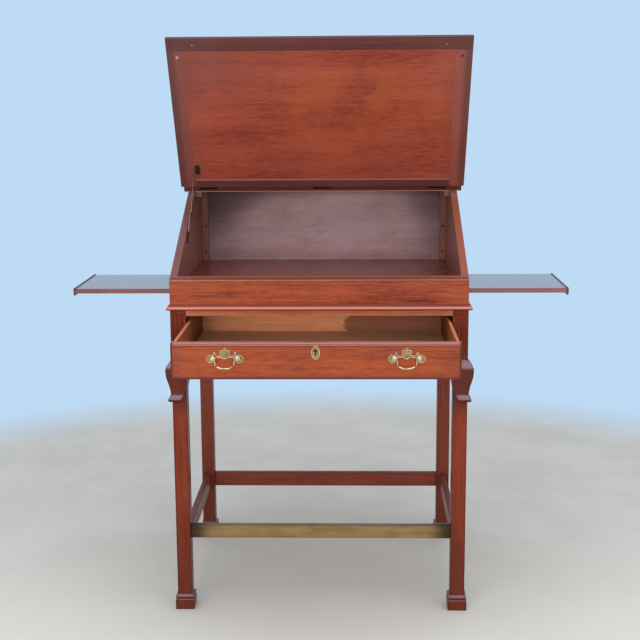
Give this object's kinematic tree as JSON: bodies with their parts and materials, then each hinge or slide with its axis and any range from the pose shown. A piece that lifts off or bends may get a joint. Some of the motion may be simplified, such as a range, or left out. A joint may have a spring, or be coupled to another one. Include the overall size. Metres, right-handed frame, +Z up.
{
  "type": "architect_table",
  "caption": "Stand-up slant-lid desk on four tall legs, lid up on a folding stay, wide drawer and both side slides drawn out, brass foot rail.",
  "frame": {"origin": "on the floor, at the middle of the whole shape as it stands in the rest pose", "axes": "X across the desk, Y from front to back, Z up; the drawer opens towards -Y"},
  "size_m": [1.326, 0.9048, 1.5195],
  "materials": {
    "mahogany": "polished reddish mahogany",
    "mahogany_dark": "dark polished mahogany",
    "mahogany_field": "polished figured mahogany",
    "mahogany_back": "dull stained mahogany",
    "secondary": "plain unpolished oak and pine",
    "brass": "antique polished brass",
    "rail_brass": "rubbed and darkened sheet brass",
    "bronze": "dark patinated brass",
    "steel": "dull steel",
    "felt": "dark felt pads"
  },
  "bodies": {
    "table": {"leg_front_left": "mahogany", "leg_front_right": "mahogany", "leg_rear_left": "mahogany", "leg_rear_right": "mahogany", "side_aprons": "mahogany", "back_apron": "mahogany", "frieze_rail": "mahogany", "drawer_blade": "mahogany", "drawer_runners": "secondary", "drawer_kickers": "secondary", "drawer_stops": "secondary", "side_stretchers": "mahogany", "back_stretcher": "mahogany", "footrail_core": "mahogany_dark", "footrail_brass": "rail_brass", "case_side_left": "mahogany", "case_side_right": "mahogany", "case_front": "mahogany", "case_back": "mahogany_back", "case_bottom": "secondary", "waist_moulding": "mahogany", "slide_bearers": "secondary", "well_floor": "mahogany_dark", "rear_battens": "mahogany_back", "batten_screws": "steel", "top_blocks": "mahogany_dark", "flat_top": "mahogany", "hinge_fixed_leaves": "bronze", "hinge_pins": "bronze", "stay_side_plate": "bronze"},
    "lid": {"lid_panel": "mahogany_field", "lid_front_rail": "mahogany_dark", "lid_hinge_rail": "mahogany_dark", "lid_stile_left": "mahogany_dark", "lid_stile_right": "mahogany_dark", "lid_ledge": "mahogany", "lid_bumpers": "felt", "lid_screws": "brass", "hinge_lid_leaves": "bronze", "stay_lid_bracket": "bronze"},
    "stay_lower": {"stay_lower_arm": "bronze"},
    "stay_upper": {"stay_upper_arm": "bronze"},
    "left_slide": {"slide_left": "mahogany", "slide_left_end": "mahogany", "slide_left_knob": "brass"},
    "right_slide": {"slide_right": "mahogany", "slide_right_end": "mahogany", "slide_right_knob": "brass"},
    "drawer": {"drawer_front": "mahogany", "drawer_bead": "mahogany", "drawer_sides": "mahogany_field", "drawer_back": "secondary", "drawer_bottom": "secondary", "pull_plates": "brass", "pull_posts": "brass", "key_plate": "brass", "drawer_lock": "brass"},
    "left_bail": {"bail_left": "brass"},
    "right_bail": {"bail_right": "brass"},
    "bolt": {"lock_bolt": "steel"}
  },
  "joints": [
    {"name": "lid_hinge", "type": "hinge", "parent": "table", "child": "lid", "pos_m": [0, 0.25668, 1.117], "axis": [1, 0, 0], "range_deg": [0, 85.5]},
    {"name": "stay_lower_turn", "type": "hinge", "parent": "table", "child": "stay_lower", "pos_m": [-0.363, 0.0744, 1], "axis": [1, 0, 0], "range_deg": [-94.49, 0.5]},
    {"name": "stay_upper_turn", "type": "hinge", "parent": "lid", "child": "stay_upper", "pos_m": [-0.36, 0.20263, 1.15851], "axis": [1, 0, 0], "range_deg": [-87.07, 0.5]},
    {"name": "left_slide_run", "type": "slide", "parent": "table", "child": "left_slide", "axis": [-1, 0, 0], "range_m": [-0.2638, 0]},
    {"name": "right_slide_run", "type": "slide", "parent": "table", "child": "right_slide", "axis": [1, 0, 0], "range_m": [-0.2638, 0]},
    {"name": "drawer_run", "type": "slide", "parent": "table", "child": "drawer", "axis": [0, -1, 0], "range_m": [-0.283, 0.1]},
    {"name": "left_bail_turn", "type": "hinge", "parent": "drawer", "child": "left_bail", "pos_m": [-0.215, -0.4482, 0.7555], "axis": [-1, 0, 0], "range_deg": [-10, 95]},
    {"name": "right_bail_turn", "type": "hinge", "parent": "drawer", "child": "right_bail", "pos_m": [0.215, -0.4482, 0.7555], "axis": [-1, 0, 0], "range_deg": [-10, 95]},
    {"name": "bolt_throw", "type": "slide", "parent": "drawer", "child": "bolt", "axis": [0, 0, 1], "range_m": [0, 0.02]}
  ],
  "couplings": [
    {"joint": "stay_lower_turn", "follows": "lid_hinge", "ratio": -1.0993},
    {"joint": "stay_upper_turn", "follows": "lid_hinge", "ratio": -1.0125}
  ]
}
